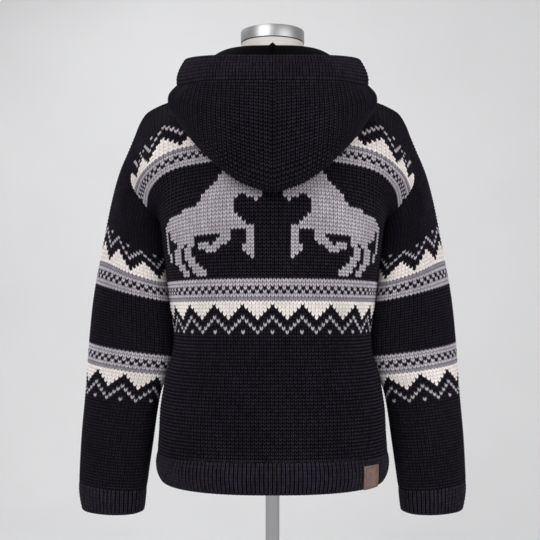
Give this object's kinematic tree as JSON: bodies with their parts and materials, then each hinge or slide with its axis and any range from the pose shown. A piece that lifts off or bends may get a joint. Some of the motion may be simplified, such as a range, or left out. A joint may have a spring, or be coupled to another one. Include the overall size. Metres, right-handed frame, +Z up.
{
  "type": "hooded knitted wool jacket on a limbless dress form with stand",
  "caption": "Hooded chunky knitted wool jacket with a front zip, worn by a limbless dress form on a pole with a round base.",
  "frame": {"origin": "centre of the round base's underside, on the floor", "axes": "+Z up along the pole; the jacket's front faces -Y; +X is the wearer's left"},
  "size_m": [0.6784, 0.3777, 1.5194],
  "materials": {
    "wool": "matt knit",
    "tape": "woven",
    "linen": "woven",
    "leather": "satin",
    "steel": "brushed"
  },
  "bodies": {
    "jacket_and_form": {"back": "wool", "front_left": "wool", "front_right": "wool", "sleeve_left": "wool", "sleeve_right": "wool", "cuff_left": "wool", "cuff_right": "wool", "hem_rib": "wool", "hood_left": "wool", "hood_right": "wool", "hood_brim": "wool", "zip_tape_left": "tape", "zip_tape_right": "tape", "zip_slider": "steel", "label": "leather", "form_body": "linen", "neck_cap": "steel", "pole": "steel", "base_plate": "steel"},
    "pull_tab": {"zip_pull": "steel"}
  },
  "joints": [
    {"name": "pull_tab_hinge", "type": "hinge", "parent": "jacket_and_form", "child": "pull_tab", "pos_m": [0, -0.10787, 1.33186], "axis": [-1, 0, 0], "range_deg": [0, 70]}
  ]
}
